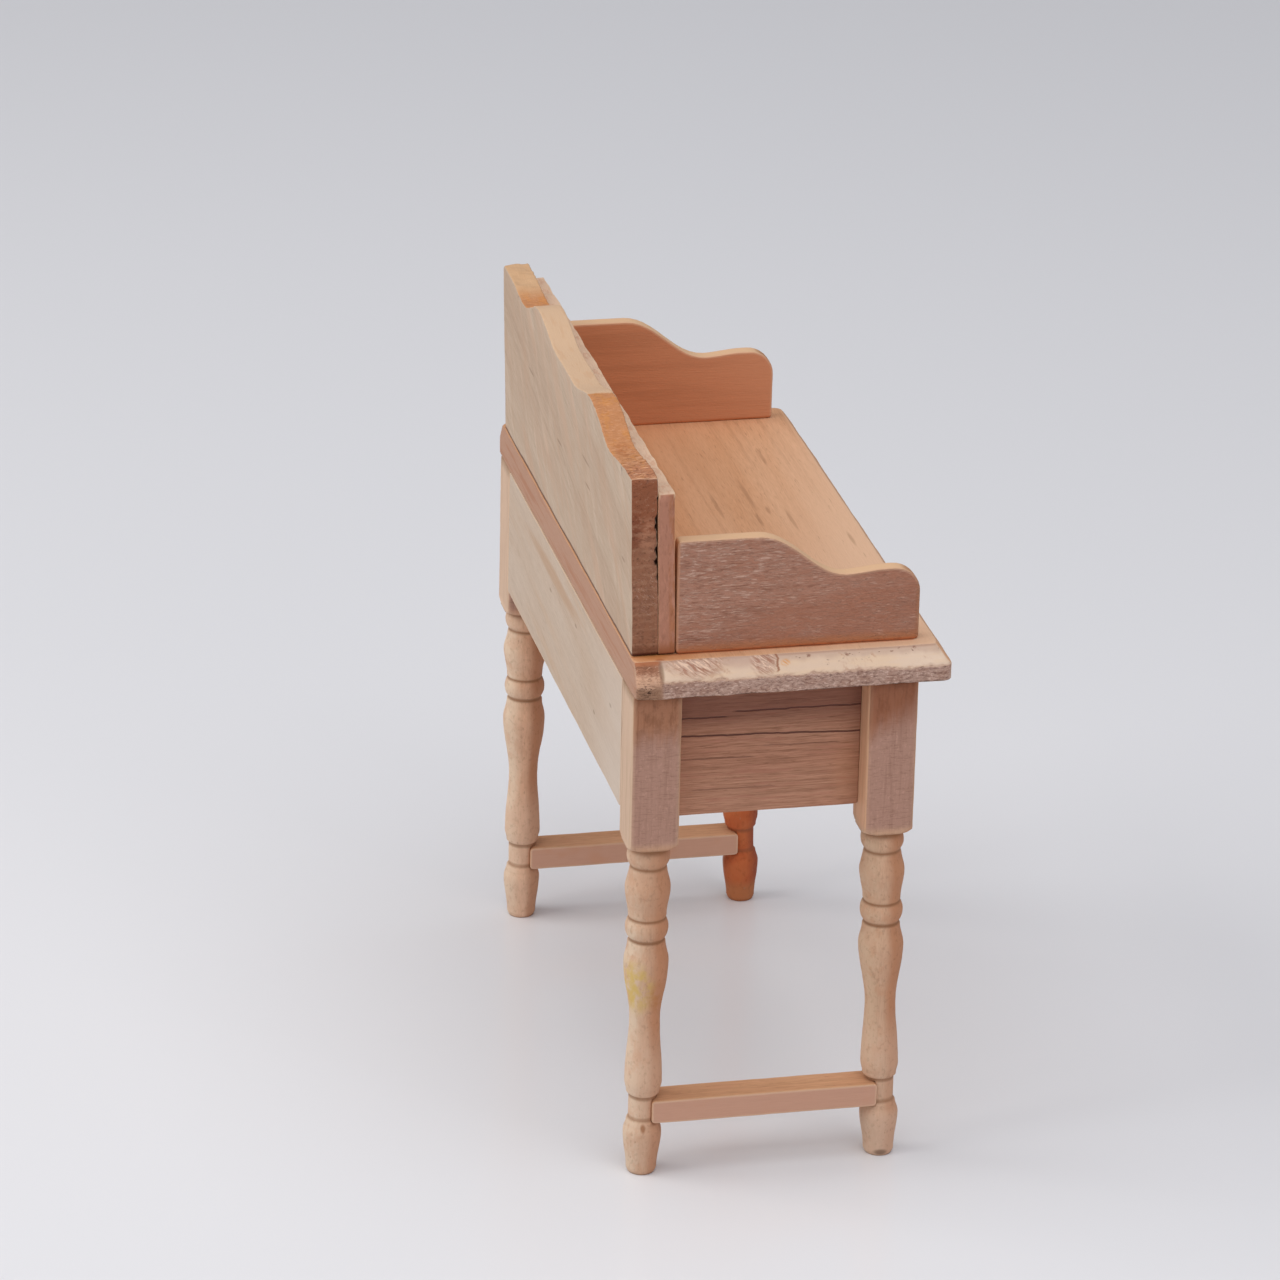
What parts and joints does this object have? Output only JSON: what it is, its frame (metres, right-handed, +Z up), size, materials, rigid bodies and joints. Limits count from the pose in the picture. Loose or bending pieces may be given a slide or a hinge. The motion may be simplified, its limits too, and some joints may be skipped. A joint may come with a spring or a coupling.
{
  "type": "miniature side table",
  "caption": "Dolls' house side table of washstand pattern: turned legs, end stretchers, drawers in a deep frieze, end galleries and a waved backboard.",
  "frame": {"origin": "centre of the footprint at floor level, under the middle of the bounding box", "axes": "+Z up, +X along the length towards the right end seen from the front, -Y towards the front with the drawers"},
  "size_m": [0.0878, 0.041, 0.0976],
  "materials": {
    "top_board": "bare sanded wood, unsealed",
    "pale_board": "bare sanded wood, unsealed",
    "thin_board": "bare sanded wood, unsealed",
    "gallery_board": "bare sanded wood, unsealed",
    "turned_leg": "bare sanded wood, unsealed",
    "apron_board": "bare sanded wood, unsealed",
    "stretcher_wood": "bare sanded wood, unsealed",
    "front_frame": "bare sanded wood, unsealed",
    "inner_board": "bare sanded wood, unsealed",
    "drawer_face": "bare sanded wood, unsealed",
    "knob_wood": "bare sanded wood, unsealed",
    "drawer_box": "bare sanded wood, unsealed"
  },
  "bodies": {
    "table": {"tabletop": "top_board", "backboard_outer": "pale_board", "backboard_inner": "thin_board", "gallery_left": "gallery_board", "gallery_right": "gallery_board", "leg_front_left": "turned_leg", "leg_front_right": "turned_leg", "leg_back_left": "turned_leg", "leg_back_right": "turned_leg", "apron_left": "apron_board", "apron_right": "apron_board", "back_panel": "pale_board", "stretcher_left": "stretcher_wood", "stretcher_right": "stretcher_wood", "front_rail_top": "front_frame", "front_rail_bottom": "front_frame", "front_stile": "front_frame", "centre_partition": "inner_board", "drawer_floor": "inner_board"},
    "drawer_left": {"drawer_left_front": "drawer_face", "drawer_left_side_outer": "drawer_box", "drawer_left_side_inner": "drawer_box", "drawer_left_back": "drawer_box", "drawer_left_bottom": "drawer_box", "drawer_left_knob": "knob_wood"},
    "drawer_right": {"drawer_right_front": "drawer_face", "drawer_right_side_outer": "drawer_box", "drawer_right_side_inner": "drawer_box", "drawer_right_back": "drawer_box", "drawer_right_bottom": "drawer_box", "drawer_right_knob": "knob_wood"}
  },
  "joints": [
    {"name": "drawer_left_slide", "type": "slide", "parent": "table", "child": "drawer_left", "axis": [0, -1, 0], "range_m": [0, 0.022]},
    {"name": "drawer_right_slide", "type": "slide", "parent": "table", "child": "drawer_right", "axis": [0, -1, 0], "range_m": [0, 0.022]}
  ]
}
